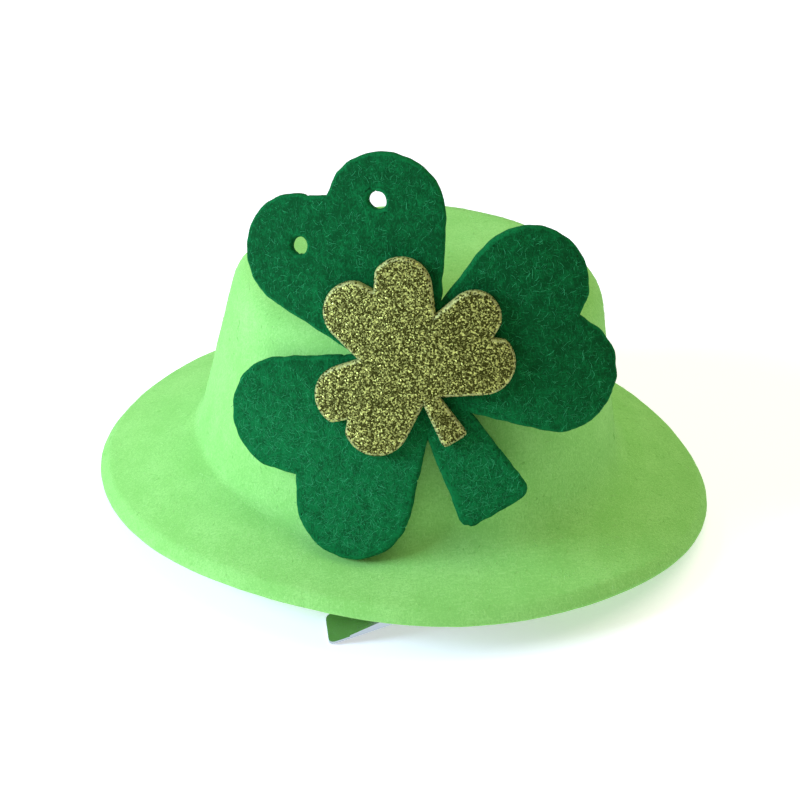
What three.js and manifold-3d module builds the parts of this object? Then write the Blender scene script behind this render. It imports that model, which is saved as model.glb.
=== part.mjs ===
// Mini top hat hair clip: a moulded felt hat, a felt shamrock with a foam shamrock on it
// glued to the front of the crown, and a sprung steel clip glued under the front of the brim.
// Millimetres, +Z up. The front of the hat faces -Y. The hat's own zero is its crease,
// where the crown meets the brim.
import * as THREE from 'three';
import { mergeVertices } from 'three/addons/utils/BufferGeometryUtils.js';
import { TessellateModifier } from 'three/addons/modifiers/TessellateModifier.js';
import Module from 'manifold-3d';

const wasm = await Module();
wasm.setup();

// Fit, and the closeness at which two corners of a mesh are one
const GAP = 0.3;
const WELD = 1e-3;

// Felt hat: half sizes of its oval sections, measured on the outside. A power of 2 is a true
// oval, below 2 it is a little flatter between its four ends
const FELT_WALL = 1.8;
const CROWN_HEIGHT = 39.3;
const CROWN_DOME = 0.6;
const OVALS = {
  top: { halfWidth: 36.7, halfDepth: 32, power: 2 },
  base: { halfWidth: 44.2, halfDepth: 40.9, power: 2 },
  rim: { halfWidth: 64.8, halfDepth: 56.2, power: 1.93 },
};
const TOP_EDGE_RADIUS = 7.2;
const CREASE_RADIUS = 6.5;
const CREASE_SOFTENING = 2.5;
const SOFTEST_CREASE = THREE.MathUtils.degToRad(-50);
const BRIM_DROP = 8.2;
const BRIM_SADDLE = 1.9;
const BRIM_WAVE = 0.9;
const RIM_TURN_IN = 1.5;
const RIM_TURN_DROP = 1.9;
const RIM_TURN_RADIUS = 3;
const RIM_STEPS = 2;
const EDGE_STEPS = 5;
const HAT_SEGMENTS = 64;

// Shamrock sheets: both are bent round the crown and lean back with its wall
const SHEET_BEND_RADIUS = 80;
const SHEET_LEAN = THREE.MathUtils.degToRad(18.4);
const SHEET_TURN = THREE.MathUtils.degToRad(-4);
const LEAF_NECK = -2;
const NOTCH_HALF_SHARE = 1 / 3;
const ARC_STEPS = 9;
const CORNER_STEPS = 3;
const SPLIT_PASSES = 12;

// Felt shamrock, a row for each leaf: the direction of the leaf, how far out its two lobes
// lie, how far to the side, their radii, where its sides would meet, and how far out and to
// the side the notch between the lobes is
const FELT_THICKNESS = 2;
const FELT_CENTRE = new THREE.Vector3(1.2, -35.6, 36.2);
const FELT_FACET = 7;
const FELT_LEAVES = [
  { angle: 126.9, out: [31.6, 28.7], side: 9.3, radius: [11.0, 12.2], tip: -5.8, notch: [37.5, -1.8] },
  { angle: 22.4, out: [24.7, 26.3], side: 9.2, radius: [11.85, 11.35], tip: -9.0, notch: [32.8, 0.8] },
  { angle: 226.6, out: [26.9, 27.2], side: 11.0, radius: [11.6, 11.1], tip: -7.6, notch: [32.7, -0.1] },
];
const FELT_STEM = { angle: -55.1, from: 0, to: 31.9, widthFrom: 6.7, widthTo: 14.8, corner: 2.2 };
const PUNCH_RADIUS = 1.65;
const PUNCH_SIDES = 12;
const PUNCHES = [{ across: -11.0, up: 31.6 }, { across: -25.7, up: 20.9 }];

// Foam shamrock, the same columns
const FOAM_THICKNESS = 2;
const FOAM_CENTRE = new THREE.Vector3(-0.3, -37.6, 38.25);
const FOAM_FACET = 6;
const FOAM_LEAVES = [
  { angle: 123.0, out: [14.3, 14.3], side: 5.2, radius: [5.9, 5.9], tip: -17.0, notch: [16.3, -0.4] },
  { angle: 27.6, out: [14.6, 13.1], side: 4.4, radius: [5.2, 6.1], tip: -17.0, notch: [16.4, -0.5] },
  { angle: 225.5, out: [12.1, 13.7], side: 3.9, radius: [6.5, 5.9], tip: -13.4, notch: [16.2, 0] },
];
const FOAM_STEM = { angle: -53.5, from: 0, to: 16.6, widthFrom: 1.9, widthTo: 5.3, corner: 0.8 };

// Clip: its own zero is the pin's centre, +X runs from the tail to the jaws, +Z to the brim
const STEEL = 0.6;
const CLIP_WIDTH = 8;
const UPPER_REACH = { tail: 14.5, jaw: 28 };
const LOWER_REACH = { tail: 16, jaw: 27 };
const TAIL_CORNER = 1.5;
const CLIP_CURVE_STEPS = 6;
const UPPER_FACE = 2.1;
const LOWER_FACE = -1.9;
const FLAT_HALF = 3.2;
const TAIL_DROP = 5.5;
const JAW_RISE = 3.1;
const JAW_TIP_WIDTH = 6;
const TOOTH = { count: 4, pitch: 1.5, height: 0.6 };
const EAR_RADIUS = 1.5;
const EAR_SPREAD = 1;
const UPPER_EAR_OUTSIDE = 2.9;
const FLANGE = { tailEnd: -12, tailHeight: 0.3, jawEnd: 9, jawHeight: 0.33 };
const PIN_RADIUS = 0.65;
const PIN_HEAD = { radius: 1.1, thickness: 0.4 };
const PIN_SIDES = 16;
const COIL = { wire: 0.25, radius: 1.2, turns: 5, halfLength: 1.65, leg: 9 };
const COIL_STEPS = { turn: 10, leg: 8, wire: 3 };
const CLIP_PLACE = new THREE.Vector3(2.9, -46.2, -9.35);
const CLIP_TURN = THREE.MathUtils.degToRad(10);
const CLIP_ROLL = THREE.MathUtils.degToRad(6);

// At rest on a table the hat stands on the clip's tail and on two places of the rim behind it
const REST_PITCH = THREE.MathUtils.degToRad(-5.08);

// Finishes
const limeFelt = new THREE.MeshStandardMaterial({ color: 0x86e070, roughness: 0.95, metalness: 0 });
const greenFelt = new THREE.MeshStandardMaterial({ color: 0x0f6b34, roughness: 0.95, metalness: 0 });
const goldGlitter = new THREE.MeshStandardMaterial({ color: 0x9a8a3c, roughness: 0.5, metalness: 0.4 });
const platedSteel = { color: 0xc9ccd0, roughness: 0.25, metalness: 1 };

// Joining and cutting of closed solids
function toSolid(geometry) {
  const bare = new THREE.BufferGeometry();
  bare.setAttribute('position', geometry.getAttribute('position'));
  bare.setIndex(geometry.getIndex());
  const merged = mergeVertices(bare, WELD);
  return new wasm.Manifold(new wasm.Mesh({
    numProp: 3,
    vertProperties: new Float32Array(merged.getAttribute('position').array),
    triVerts: new Uint32Array(merged.getIndex().array),
  }));
}

function toGeometry(solid) {
  const mesh = solid.getMesh();
  const geometry = new THREE.BufferGeometry();
  geometry.setAttribute('position', new THREE.BufferAttribute(mesh.vertProperties, mesh.numProp));
  geometry.setIndex(new THREE.BufferAttribute(mesh.triVerts, 1));
  return geometry;
}

function joined(geometries) {
  return geometries.map(toSolid).reduce((whole, piece) => whole.add(piece));
}

// A round bar along Y
function bar(radius, length, sides) {
  return new THREE.CylinderGeometry(radius, radius, length, sides);
}

function extruded(shape, depth, curveSegments) {
  return new THREE.ExtrudeGeometry(shape, { depth, curveSegments, bevelEnabled: false });
}

function namedMesh(name, geometry, material) {
  geometry.computeVertexNormals();
  const mesh = new THREE.Mesh(geometry, material);
  mesh.name = name;
  return mesh;
}

// Felt hat
function ovalRadius({ halfWidth, halfDepth, power }, angle) {
  const across = Math.abs(Math.cos(angle) / halfWidth) ** power;
  const along = Math.abs(Math.sin(angle) / halfDepth) ** power;
  return (across + along) ** (-1 / power);
}

// The brim hangs lower at the sides than at its two ends, and its front half has a slight wave
function rimDrop(angle) {
  const front = (1 - Math.sin(angle)) / 2;
  return BRIM_DROP + BRIM_SADDLE * Math.cos(2 * angle) + BRIM_WAVE * front * Math.cos(4 * angle);
}

// Points of a path whose inner corners are rounded
function roundedPath(corners) {
  const points = [corners[0].at];
  for (let i = 1; i < corners.length - 1; i += 1) {
    const { at, radius, steps } = corners[i];
    const back = corners[i - 1].at.clone().sub(at).normalize();
    const ahead = corners[i + 1].at.clone().sub(at).normalize();
    const half = Math.acos(back.dot(ahead)) / 2;
    const centre = at.clone().addScaledVector(back.clone().add(ahead).normalize(), radius / Math.sin(half));
    const tangent = radius / Math.tan(half);
    const first = at.clone().addScaledVector(back, tangent).sub(centre);
    const last = at.clone().addScaledVector(ahead, tangent).sub(centre);
    const sweep = Math.atan2(first.cross(last), first.dot(last));
    for (let step = 0; step <= steps; step += 1) {
      points.push(first.clone().rotateAround(new THREE.Vector2(), sweep * step / steps).add(centre));
    }
  }
  points.push(corners[corners.length - 1].at);
  return points;
}

// The outside of the felt along one direction, from the middle of the top to the rim
function hatProfile(angle) {
  const top = ovalRadius(OVALS.top, angle);
  const base = ovalRadius(OVALS.base, angle);
  const rim = ovalRadius(OVALS.rim, angle);
  const rimHeight = -rimDrop(angle);
  const crease = CREASE_RADIUS + CREASE_SOFTENING * Math.cos(angle - SOFTEST_CREASE);
  const turn = new THREE.Vector2(rim - RIM_TURN_IN, rimHeight + RIM_TURN_DROP);
  return roundedPath([
    { at: new THREE.Vector2(0, CROWN_HEIGHT + CROWN_DOME) },
    { at: new THREE.Vector2(top, CROWN_HEIGHT), radius: TOP_EDGE_RADIUS, steps: EDGE_STEPS },
    { at: new THREE.Vector2(base, 0), radius: crease, steps: EDGE_STEPS },
    { at: turn, radius: RIM_TURN_RADIUS, steps: RIM_STEPS },
    { at: new THREE.Vector2(rim, rimHeight) },
  ]);
}

// The inside follows the outside one wall further in, and the cut edge at the rim is rounded
function hatSection(angle) {
  const outside = hatProfile(angle);
  const last = outside.length - 1;
  const normals = outside.map((point, i) => {
    const along = outside[Math.min(i + 1, last)].clone().sub(outside[Math.max(i - 1, 0)]).normalize();
    return i === 0 ? new THREE.Vector2(0, 1) : new THREE.Vector2(-along.y, along.x);
  });
  const inside = outside.map((point, i) => point.clone().addScaledVector(normals[i], -FELT_WALL));
  const edge = outside[last].clone().add(inside[last]).multiplyScalar(0.5);
  edge.add(new THREE.Vector2(normals[last].y, -normals[last].x).multiplyScalar(FELT_WALL / 2));
  return [...outside, edge, ...inside.reverse()];
}

function hatGeometry() {
  const vertices = [];
  const faces = [];
  const rings = hatSection(0).length;
  for (let s = 0; s < HAT_SEGMENTS; s += 1) {
    const angle = s / HAT_SEGMENTS * 2 * Math.PI;
    hatSection(angle).forEach((p) => vertices.push(p.x * Math.cos(angle), p.x * Math.sin(angle), p.y));
    const next = (s + 1) % HAT_SEGMENTS;
    for (let r = 0; r < rings - 1; r += 1) {
      const [a, b] = [s * rings + r, next * rings + r];
      if (r > 0) faces.push(a, a + 1, b);
      if (r < rings - 2) faces.push(b, a + 1, b + 1);
    }
  }
  const geometry = new THREE.BufferGeometry();
  geometry.setAttribute('position', new THREE.Float32BufferAttribute(vertices, 3));
  geometry.setIndex(faces);
  return mergeVertices(geometry, WELD);
}

// Shamrocks: a leaf is two round lobes on a tapered neck, drawn along +X and turned into place
function lobePoints(out, side, radius, tip, hand) {
  const reach = Math.hypot(out - tip, side);
  const slope = Math.atan2(side, out - tip) + Math.asin(radius / reach);
  const neck = new THREE.Vector2(LEAF_NECK, (LEAF_NECK - tip) * Math.tan(slope));
  const meet = Math.asin(Math.max(-1, -side / radius));
  const points = [neck];
  for (let step = 0; step <= ARC_STEPS; step += 1) {
    const at = THREE.MathUtils.lerp(slope + Math.PI / 2, meet, step / ARC_STEPS);
    points.push(new THREE.Vector2(out + radius * Math.cos(at), side + radius * Math.sin(at)));
  }
  return points.map((p) => new THREE.Vector2(p.x, hand * p.y));
}

function leafShape({ out, side, radius, tip, notch }) {
  const left = lobePoints(out[0], side, radius[0], tip, 1);
  const right = lobePoints(out[1], side, radius[1], tip, -1);
  const middle = new THREE.Vector2(...notch);
  const clearOfNotch = (p) => p.x < out[0] || Math.abs(p.y - middle.y) > side * NOTCH_HALF_SHARE;
  return new THREE.Shape([...left.filter(clearOfNotch), middle, ...right.reverse().filter(clearOfNotch)]);
}

function stemShape({ from, to, widthFrom, widthTo, corner }) {
  const half = widthTo / 2;
  const shoulder = half - corner * (widthTo - widthFrom) / 2 / (to - from);
  const shape = new THREE.Shape();
  shape.moveTo(from, -widthFrom / 2);
  shape.lineTo(to - corner, -shoulder);
  shape.quadraticCurveTo(to, -half, to, corner - half);
  shape.lineTo(to, half - corner);
  shape.quadraticCurveTo(to, half, to - corner, shoulder);
  shape.lineTo(from, widthFrom / 2);
  return shape;
}

function flatPiece(shape, thickness, angle) {
  return extruded(shape, thickness, CORNER_STEPS).rotateZ(THREE.MathUtils.degToRad(angle));
}

function flatShamrock(leaves, stem, thickness) {
  return joined([
    ...leaves.map((leaf) => flatPiece(leafShape(leaf), thickness, leaf.angle)),
    flatPiece(stemShape(stem), thickness, stem.angle),
  ]);
}

function punch({ across, up }) {
  const hole = bar(PUNCH_RADIUS, 4 * FELT_THICKNESS, PUNCH_SIDES);
  return toSolid(hole.rotateX(Math.PI / 2).translate(across, up, 0));
}

// Bends a flat sheet, drawn in XY with its front at the highest Z, round an upright cylinder
function bentSheet(solid, thickness, facet) {
  const flat = toGeometry(solid).toNonIndexed();
  const fine = new TessellateModifier(facet, SPLIT_PASSES).modify(flat);
  const position = fine.getAttribute('position');
  for (let i = 0; i < position.count; i += 1) {
    const turn = position.getX(i) / SHEET_BEND_RADIUS;
    const radius = SHEET_BEND_RADIUS + position.getZ(i) - thickness;
    const [x, y] = [radius * Math.sin(turn), SHEET_BEND_RADIUS - radius * Math.cos(turn)];
    position.setXYZ(i, x, y, position.getY(i));
  }
  return mergeVertices(fine, WELD);
}

function sheetMesh(name, geometry, material, centre) {
  const mesh = namedMesh(name, geometry, material);
  mesh.position.copy(centre);
  mesh.rotation.set(-SHEET_LEAN, 0, SHEET_TURN, 'ZYX');
  return mesh;
}

// Clip pieces: side views are drawn in X and Z and given a width along Y
function acrossClip(shape, width, middle = 0) {
  const geometry = extruded(shape, width, CLIP_CURVE_STEPS);
  return geometry.rotateX(Math.PI / 2).translate(0, middle + width / 2, 0);
}

// Outline from above: square-shouldered tail, jaws tapered to a narrower round tip
function armOutline({ tail, jaw }) {
  const half = CLIP_WIDTH / 2;
  const tip = JAW_TIP_WIDTH / 2;
  const shoulder = TAIL_CORNER - tail;
  const shape = new THREE.Shape();
  shape.moveTo(shoulder, -half);
  shape.lineTo(FLANGE.jawEnd, -half);
  shape.lineTo(jaw - tip, -tip);
  shape.absarc(jaw - tip, 0, tip, -Math.PI / 2, Math.PI / 2);
  shape.lineTo(FLANGE.jawEnd, half);
  shape.lineTo(shoulder, half);
  shape.quadraticCurveTo(-tail, half, -tail, half - TAIL_CORNER);
  shape.lineTo(-tail, TAIL_CORNER - half);
  shape.quadraticCurveTo(-tail, -half, shoulder, -half);
  return shape;
}

function earShape(height) {
  const shape = new THREE.Shape();
  shape.moveTo(EAR_RADIUS, 0);
  shape.lineTo(EAR_RADIUS + EAR_SPREAD, height);
  shape.lineTo(-EAR_RADIUS - EAR_SPREAD, height);
  shape.lineTo(-EAR_RADIUS, 0);
  shape.absarc(0, 0, EAR_RADIUS, Math.PI, 2 * Math.PI);
  return shape;
}

function pinHole() {
  return toSolid(bar(PIN_RADIUS + GAP, 2 * CLIP_WIDTH, PIN_SIDES));
}

function upperArm() {
  const plate = extruded(armOutline(UPPER_REACH), STEEL, CLIP_CURVE_STEPS).translate(0, 0, UPPER_FACE);
  const earMiddle = UPPER_EAR_OUTSIDE - STEEL / 2;
  const ears = [-earMiddle, earMiddle].map((y) => acrossClip(earShape(UPPER_FACE + STEEL / 2), STEEL, y));
  return toGeometry(joined([plate, ...ears]).subtract(pinHole()));
}

// Height of the lower arm's underside along the clip
function underside(x) {
  const flat = LOWER_FACE - STEEL;
  if (x < -FLAT_HALF) return flat + TAIL_DROP * (x + FLAT_HALF) / (LOWER_REACH.tail - FLAT_HALF);
  if (x > FLAT_HALF) return flat + JAW_RISE * (x - FLAT_HALF) / (LOWER_REACH.jaw - FLAT_HALF);
  return flat;
}

function lowerStripShape() {
  const { tail, jaw } = LOWER_REACH;
  const shape = new THREE.Shape();
  shape.moveTo(-tail, underside(-tail));
  [-FLAT_HALF, FLAT_HALF, jaw].forEach((x) => shape.lineTo(x, underside(x)));
  for (let tooth = 0; tooth < TOOTH.count; tooth += 1) {
    const front = jaw - tooth * TOOTH.pitch;
    shape.lineTo(front, underside(front) + STEEL + TOOTH.height);
    shape.lineTo(front - TOOTH.pitch / 2, underside(front) + STEEL);
  }
  [FLAT_HALF, -FLAT_HALF, -tail].forEach((x) => shape.lineTo(x, underside(x) + STEEL));
  return shape;
}

function flangeShape() {
  const { tailEnd, tailHeight, jawEnd, jawHeight } = FLANGE;
  const shape = new THREE.Shape();
  shape.moveTo(tailEnd, underside(tailEnd));
  [-FLAT_HALF, FLAT_HALF, jawEnd].forEach((x) => shape.lineTo(x, underside(x)));
  shape.lineTo(jawEnd, underside(jawEnd) + STEEL + jawHeight);
  shape.absarc(0, 0, EAR_RADIUS, Math.PI / 4, Math.PI * 3 / 4);
  shape.lineTo(tailEnd, underside(tailEnd) + STEEL + tailHeight);
  return shape;
}

function lowerArm() {
  const outline = extruded(armOutline(LOWER_REACH), 2 * CLIP_WIDTH, CLIP_CURVE_STEPS);
  const blank = toSolid(outline.translate(0, 0, -CLIP_WIDTH));
  const flangeMiddle = (CLIP_WIDTH - STEEL) / 2;
  const flanges = [-flangeMiddle, flangeMiddle].map((y) => acrossClip(flangeShape(), STEEL, y));
  const folded = joined([acrossClip(lowerStripShape(), CLIP_WIDTH), ...flanges]);
  return toGeometry(folded.intersect(blank).subtract(pinHole()));
}

function pin() {
  const half = CLIP_WIDTH / 2 + GAP + PIN_HEAD.thickness;
  const headMiddle = half - PIN_HEAD.thickness / 2;
  const shank = bar(PIN_RADIUS, 2 * headMiddle, PIN_SIDES);
  const head = (y) => bar(PIN_HEAD.radius, PIN_HEAD.thickness, PIN_SIDES).translate(0, y, 0);
  return toGeometry(joined([shank, head(-headMiddle), head(headMiddle)]));
}

// Torsion spring: a coil round the pin whose long leg lies under the upper arm
function springGeometry() {
  const { wire, radius, turns, halfLength, leg } = COIL;
  const coilSteps = turns * COIL_STEPS.turn;
  const points = [];
  for (let i = 0; i <= coilSteps; i += 1) {
    const at = Math.PI / 2 + i / COIL_STEPS.turn * 2 * Math.PI;
    const along = halfLength * (2 * i / coilSteps - 1);
    points.push(new THREE.Vector3(radius * Math.cos(at), along, radius * Math.sin(at)));
  }
  points.push(new THREE.Vector3(-leg, halfLength, UPPER_FACE - GAP - wire));
  const section = new THREE.Shape().absarc(0, 0, wire, 0, 2 * Math.PI);
  const path = new THREE.CatmullRomCurve3(points, false, 'centripetal');
  const steps = coilSteps + COIL_STEPS.leg;
  return new THREE.ExtrudeGeometry(section, { steps, extrudePath: path, curveSegments: COIL_STEPS.wire });
}

function clipGroup() {
  const steel = (name, geometry) => namedMesh(name, geometry, new THREE.MeshStandardMaterial(platedSteel));
  const clip = new THREE.Group();
  clip.add(
    steel('clip_upper_arm', upperArm()),
    steel('clip_lower_arm', lowerArm()),
    steel('clip_pin', pin()),
    steel('clip_spring', springGeometry()),
  );
  clip.position.copy(CLIP_PLACE);
  clip.rotation.set(CLIP_ROLL, 0, CLIP_TURN, 'ZYX');
  return clip;
}

// The whole object, tilted as it rests, then set down on z = 0 about its own middle
const hat = new THREE.Group();
const feltFlat = PUNCHES.map(punch).reduce(
  (sheet, hole) => sheet.subtract(hole),
  flatShamrock(FELT_LEAVES, FELT_STEM, FELT_THICKNESS),
);
const foamFlat = flatShamrock(FOAM_LEAVES, FOAM_STEM, FOAM_THICKNESS);
hat.add(
  namedMesh('hat_shell', hatGeometry(), limeFelt),
  sheetMesh('felt_shamrock', bentSheet(feltFlat, FELT_THICKNESS, FELT_FACET), greenFelt, FELT_CENTRE),
  sheetMesh('glitter_shamrock', bentSheet(foamFlat, FOAM_THICKNESS, FOAM_FACET), goldGlitter, FOAM_CENTRE),
  clipGroup(),
);
hat.rotation.x = REST_PITCH;

const object = new THREE.Group();
object.add(hat);
object.updateMatrixWorld(true);
const box = new THREE.Box3().setFromObject(object, true);
const middle = box.getCenter(new THREE.Vector3());
hat.position.set(-middle.x, -middle.y, -box.min.z);

export default object;
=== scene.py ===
"""Mini top hat hair clip: a moulded felt hat, two shamrocks on its crown and a sprung steel clip.

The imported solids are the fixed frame, in metres. The hat has a frame of its own for building: its zero
is the middle of the crease, where the crown meets the brim, and its front faces -Y.
"""
import math
from collections import namedtuple

import bmesh
import bpy
import numpy as np
from bpy.props import FloatProperty, FloatVectorProperty, IntProperty, PointerProperty
from mathutils import Euler, Matrix, Vector, noise


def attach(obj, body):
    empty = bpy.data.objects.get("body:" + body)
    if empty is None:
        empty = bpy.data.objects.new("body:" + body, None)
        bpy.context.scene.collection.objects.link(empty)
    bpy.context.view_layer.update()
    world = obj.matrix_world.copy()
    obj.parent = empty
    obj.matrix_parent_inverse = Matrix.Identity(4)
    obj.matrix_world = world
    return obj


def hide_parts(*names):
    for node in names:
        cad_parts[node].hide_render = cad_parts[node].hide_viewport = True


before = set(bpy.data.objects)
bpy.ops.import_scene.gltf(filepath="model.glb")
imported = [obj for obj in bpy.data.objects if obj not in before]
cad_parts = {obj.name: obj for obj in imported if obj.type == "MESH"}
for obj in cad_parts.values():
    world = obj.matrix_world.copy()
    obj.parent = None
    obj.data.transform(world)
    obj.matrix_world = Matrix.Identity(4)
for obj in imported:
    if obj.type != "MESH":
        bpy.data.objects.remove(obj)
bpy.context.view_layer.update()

bl_info = {
    "name": "Mini Top Hat Hair Clip",
    "version": (1, 0, 0),
    "blender": (4, 5, 0),
    "location": "View3D > Sidebar > Top Hat",
    "description": "Builds a felt mini top hat with two shamrocks and a hair clip around its solids",
    "category": "Object",
}

MM = 0.001

# How the hat rests: tilted back on the clip's tail and the rim behind it
REST_PITCH = math.radians(-5.08)
REST_PLACE = Vector((0, 0.598, 13.018)) * MM
REST = Matrix.Translation(REST_PLACE) @ Matrix.Rotation(REST_PITCH, 4, "X")

# How the clip sits under the brim, in the hat's frame
CLIP_PLACE = Vector((2.9, -46.2, -9.35)) * MM
CLIP_TURN = math.radians(10)
CLIP_ROLL = math.radians(6)
CLIP = REST @ Matrix.Translation(CLIP_PLACE) @ Euler((CLIP_ROLL, 0, CLIP_TURN)).to_matrix().to_4x4()

# Shamrock leaves, in degrees and millimetres: how far out and to the side their lobes lie, the lobes' radii,
# where the leaf's sides would meet, and the notch's place
Leaf = namedtuple("Leaf", "angle out_left out_right side radius_left radius_right tip notch_out notch_side")
FELT_LEAVES = (
    Leaf(126.9, 31.6, 28.7, 9.3, 11.0, 12.2, -5.8, 37.5, -1.8),
    Leaf(22.4, 24.7, 26.3, 9.2, 11.85, 11.35, -9.0, 32.8, 0.8),
    Leaf(226.6, 26.9, 27.2, 11.0, 11.6, 11.1, -7.6, 32.7, -0.1),
)
FOAM_LEAVES = (
    Leaf(123.0, 14.3, 14.3, 5.2, 5.9, 5.9, -17.0, 16.3, -0.4),
    Leaf(27.6, 14.6, 13.1, 4.4, 5.2, 6.1, -17.0, 16.4, -0.5),
    Leaf(225.5, 12.1, 13.7, 3.9, 6.5, 5.9, -13.4, 16.2, 0),
)
# Stems, in degrees and millimetres, with the radius of the corners at their end
Stem = namedtuple("Stem", "angle length width_middle width_end corner")
FELT_STEM = Stem(-55.1, 31.9, 6.7, 14.8, 2.2)
FOAM_STEM = Stem(-53.5, 16.6, 1.9, 5.3, 0.8)
# Where a leaf's sides start along it, in millimetres, and half the notch's width, as a share of the side
LEAF_NECK = -2
NOTCH_HALF_SHARE = 1 / 3
LOBE_STEPS = 28
CORNER_STEPS = 6
# Punched holes in the upper felt leaf, in millimetres across and up
PUNCHES = ((-11.0, 31.6), (-25.7, 20.9))


def linear(hex_code):
    """An sRGB hex colour as linear red, green and blue."""
    channels = [int(hex_code[i:i + 2], 16) / 255 for i in (1, 3, 5)]
    return tuple(c / 12.92 if c <= 0.04045 else ((c + 0.055) / 1.055) ** 2.4 for c in channels)


def number(name, description, default, unit="NONE"):
    """A plain number property."""
    return FloatProperty(name=name, description=description, default=default, unit=unit)


def size(name, description, millimetres):
    """A length property, given in millimetres and kept in metres."""
    return number(name, description, millimetres * MM, unit="LENGTH")


def slant(name, description, degrees):
    """An angle property, given in degrees and kept in radians."""
    return number(name, description, math.radians(degrees), unit="ROTATION")


def tint(name, description, hex_code):
    """A colour property, given as sRGB hex and kept linear."""
    return FloatVectorProperty(
        name=name, description=description, default=linear(hex_code), size=3, min=0, max=1, subtype="COLOR"
    )


class FeltHatSettings(bpy.types.PropertyGroup):
    """Sizes and colours of the moulded hat."""
    wall: size("Felt wall", "Thickness of the moulded felt", 1.8)
    crown_height: size("Crown height", "Height of the crown's top edge over the crease", 39.3)
    crown_dome: size("Crown dome", "Rise of the middle of the top", 0.6)
    crown_slump: size("Crown slump", "How far the top's edge sinks at the back left", 1.2)
    top_width: size("Top half width", "Half width of the crown's top", 36.7)
    top_depth: size("Top half depth", "Half depth of the crown's top", 32)
    base_width: size("Base half width", "Half width of the crown at the crease", 44.2)
    base_depth: size("Base half depth", "Half depth of the crown at the crease", 40.9)
    rim_width: size("Rim half width", "Half width of the brim", 64.8)
    rim_depth: size("Rim half depth", "Half depth of the brim", 56.2)
    top_radius: size("Top edge radius", "Rounding of the crown's top edge", 7.2)
    crease_radius: size("Crease radius", "Mean rounding between crown and brim", 6.5)
    crease_softening: size("Crease softening", "How much softer the crease is at the front right", 2.5)
    crease_fold: size("Crease fold", "How much sharper the crease is at the front left", 4)
    brim_drop: size("Brim drop", "How far the rim lies under the crease", 8.2)
    brim_saddle: size("Brim saddle", "How much lower the rim is at its sides", 1.9)
    brim_wave: size("Brim wave", "Height of the wave in the brim's front half", 0.9)
    edge_wave: size("Edge wave", "Height of the wave along the rim's front edge", 0.75)
    rim_power: number("Rim power", "2 is a true oval, below 2 it is flatter between its ends", 1.93)
    rim_turn_in: size("Rim turn width", "Width of the rim's turned-down edge", 1.5)
    rim_turn_drop: size("Rim turn drop", "Drop of the rim's turned-down edge", 1.9)
    rim_turn_radius: size("Rim turn radius", "Rounding where the rim turns down", 3)
    unevenness: size("Unevenness", "Height of the felt's soft lumps", 0.09)
    lime: tint("Lime felt", "Colour of the hat's felt", "#9ee07c")
    # Painted shade in the pits between the hat's fibres; also the own tone of the darkest loose fibres
    lime_shade_and_dark_fibre: tint("Lime felt, pits", "Colour between the felt's fibres", "#87ce66")
    lime_fibre: tint("Lime fibres", "Colour of its lightest loose fibres", "#c0f2a0")
    nap_length: size("Nap length", "Length of a loose fibre", 1.0)
    nap_width: size("Nap width", "Width of a loose fibre", 0.05)
    nap_density: number("Nap density", "Loose fibres on a square metre", 4.4e5)


class ShamrockSettings(bpy.types.PropertyGroup):
    """Sizes and colours of the felt and foam shamrocks."""
    bend_radius: size("Bend radius", "Radius of the bend round the crown", 80)
    lean: slant("Lean", "How far the sheets lean back", 18.4)
    turn: slant("Turn", "How far the sheets face to the side", -4)
    felt_thickness: size("Felt thickness", "Thickness of the felt sheet", 2)
    felt_edge: size("Felt edge", "Softness of the felt's cut edge", 0.8)
    felt_mesh: size("Felt mesh", "Spacing of the felt's mesh", 0.45)
    felt_lumps: size("Felt lumps", "Height of the felt's lumps", 0.16)
    punch_radius: size("Punch radius", "Radius of the punched holes", 1.65)
    green: tint("Green felt", "Colour of the felt shamrock", "#0f6e37")
    # Painted shade in the pits between the shamrock's fibres
    green_shade: tint("Green felt, pits", "Colour between its fibres", "#094821")
    green_fibre: tint("Green fibres", "Colour of its lightest loose fibres", "#3fbb77")
    nap_length: size("Nap length", "Length of a loose fibre", 1.4)
    nap_width: size("Nap width", "Width of a loose fibre", 0.055)
    nap_density: number("Nap density", "Loose fibres on a square metre", 4.4e6)
    foam_thickness: size("Foam thickness", "Thickness of the foam sheet", 2)
    foam_edge: size("Foam edge", "Rounding of the foam's front edge", 0.7)
    foam_mesh: size("Foam mesh", "Spacing of the foam's mesh", 0.32)
    # The glitter's brightness is painted: gold, with a painted glint, for the bright flakes and specks, and
    # olive as painted shade for the dark ones
    gold: tint("Gold glitter", "Bright glitter", "#dfe67e")
    glitter_painted_shade: tint("Olive glitter", "Glitter turned away from the light", "#383a0a")
    foam_core: tint("Foam core", "Cut edge of the foam", "#b2ba78")
    flake_width: size("Flake width", "Width of a glitter flake", 0.46)
    flake_density: number("Flake density", "Flakes on a square metre", 1.1e7)


class ClipSettings(bpy.types.PropertyGroup):
    """Sizes and colour of the steel clip."""
    edge: size("Edge rounding", "Rounding of the stamped edges", 0.13)
    wire: size("Spring wire", "Radius of the spring's wire", 0.25)
    coil_radius: size("Coil radius", "Radius of the spring's coil", 1.2)
    coil_half_length: size("Coil half length", "Half length of the coil", 1.65)
    coil_turns: IntProperty(name="Coil turns", description="Turns of the spring", default=5)
    leg: size("Spring leg", "Reach of the spring's leg", 9)
    leg_height: size("Spring leg height", "Height of the leg's end over the pin", 1.55)
    pin_radius: size("Pin radius", "Radius of the rivet", 0.65)
    head_radius: size("Head radius", "Radius of the rivet's heads", 1.1)
    head_thickness: size("Head thickness", "Thickness of the rivet's heads", 0.4)
    pin_half_length: size("Pin half length", "Half length of the rivet", 4.7)
    steel: tint("Plated steel", "Colour of the bright plating", "#bcbec2")


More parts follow.
